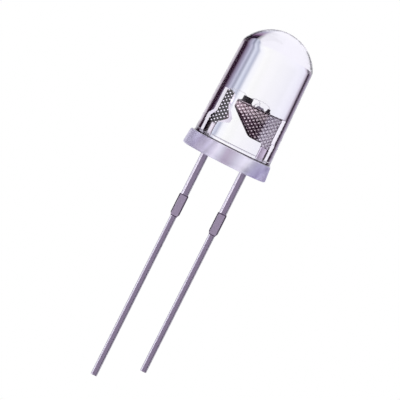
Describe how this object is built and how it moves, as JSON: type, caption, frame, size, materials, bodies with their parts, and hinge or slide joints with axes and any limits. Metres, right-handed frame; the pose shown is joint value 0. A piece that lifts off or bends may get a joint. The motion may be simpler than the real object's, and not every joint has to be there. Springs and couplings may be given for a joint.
{
  "type": "through hole led",
  "caption": "Round water clear through hole LED with a flanged dome lens, a flat on the cathode side and straight leads with stand-offs.",
  "frame": {"origin": "centre of the flange's underside, which is the seating plane", "axes": "+Z along the optical axis towards the dome, +X towards the cathode lead and the flat on the flange; the leads hang towards -Z"},
  "size_m": [0.0054, 0.0056, 0.0234],
  "materials": {
    "clear_epoxy": "gloss",
    "tinned_steel": "satin",
    "control_silicon": "satin",
    "clear_crystal": "satin",
    "dark_crystal": "satin",
    "silver_adhesive": "matte",
    "bond_metal": "polished"
  },
  "bodies": {
    "root": {"epoxy_body": "clear_epoxy", "cathode_lead": "tinned_steel", "anode_lead": "tinned_steel", "control_die": "control_silicon", "clear_die": "clear_crystal", "dark_die": "dark_crystal", "control_die_attach": "silver_adhesive", "clear_die_attach": "silver_adhesive", "dark_die_attach": "silver_adhesive", "post_wire": "bond_metal", "clear_feed_wire": "bond_metal", "clear_return_wire": "bond_metal", "dark_feed_wire": "bond_metal"}
  },
  "joints": []
}
